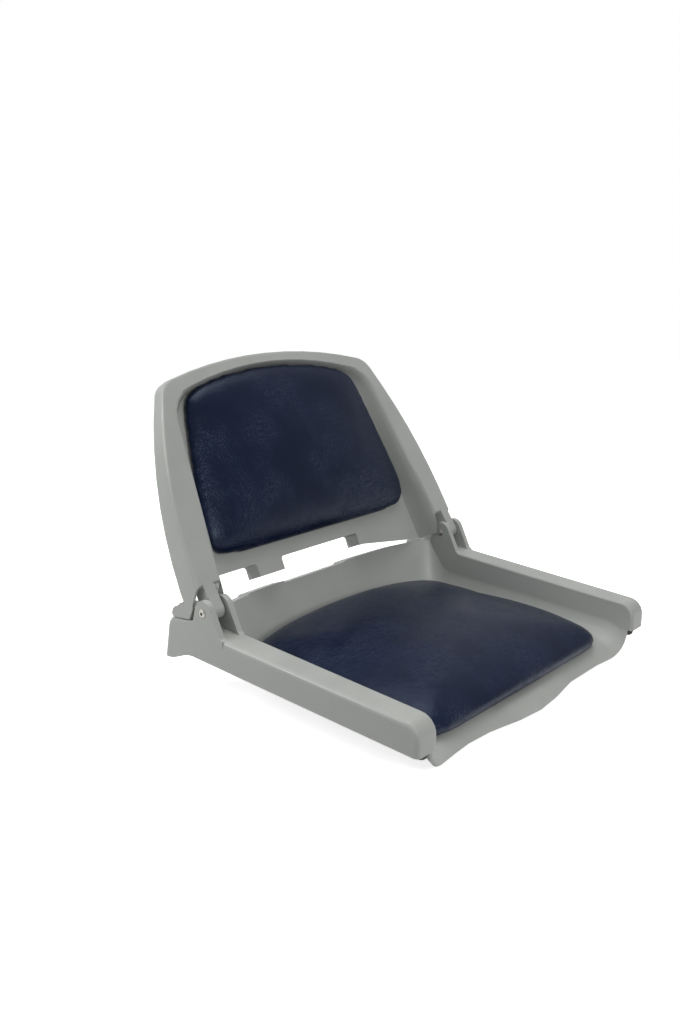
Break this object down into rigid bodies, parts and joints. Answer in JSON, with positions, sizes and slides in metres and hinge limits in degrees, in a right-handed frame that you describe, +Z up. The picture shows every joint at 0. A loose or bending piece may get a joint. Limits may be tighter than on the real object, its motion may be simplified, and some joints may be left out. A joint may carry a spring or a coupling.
{
  "type": "folding boat seat",
  "caption": "Moulded grey folding boat seat with hollow side rails, a backrest that folds down on rivet hinges, navy vinyl pads and a square bolt-down base",
  "frame": {"origin": "Centre of the flat mounting face on the underside of the seat shell, where a pedestal or swivel bolts on.", "axes": "+X to the side across the seat, -Y to the front edge of the seat, +Z up. The hinge axis runs along X."},
  "size_m": [0.5056, 0.4723, 0.3874],
  "materials": {
    "grey_plastic": "lightly textured, injection moulded",
    "navy_vinyl": "grained marine vinyl",
    "foam": "open-cell foam, hidden",
    "plywood": "unfinished, hidden",
    "steel": "plain stainless",
    "nylon": "plain",
    "black_rubber": "matte",
    "brass": "plain"
  },
  "bodies": {
    "base": {"seat_shell": "grey_plastic", "seat_pad_cover": "navy_vinyl", "seat_pad_foam": "foam", "seat_pad_board": "plywood", "left_hinge_rivet": "steel", "right_hinge_rivet": "steel", "left_hinge_outer_washer": "nylon", "right_hinge_outer_washer": "nylon", "left_hinge_inner_washer": "nylon", "right_hinge_inner_washer": "nylon", "left_front_bumper": "black_rubber", "right_front_bumper": "black_rubber", "seat_pad_screw_front_left": "steel", "seat_pad_screw_front_right": "steel", "seat_pad_screw_rear_left": "steel", "seat_pad_screw_rear_right": "steel", "mounting_insert_front_left": "brass", "mounting_insert_front_right": "brass", "mounting_insert_rear_left": "brass", "mounting_insert_rear_right": "brass"},
    "backrest": {"back_shell": "grey_plastic", "back_pad_cover": "navy_vinyl", "back_pad_foam": "foam", "back_pad_board": "plywood", "back_pad_screw_lower_left": "steel", "back_pad_screw_upper_left": "steel", "back_pad_screw_lower_right": "steel", "back_pad_screw_upper_right": "steel"}
  },
  "joints": [
    {"name": "back_fold", "type": "hinge", "parent": "base", "child": "backrest", "pos_m": [0, 0.106, 0.113], "axis": [1, 0, 0], "range_deg": [0, 122]}
  ]
}
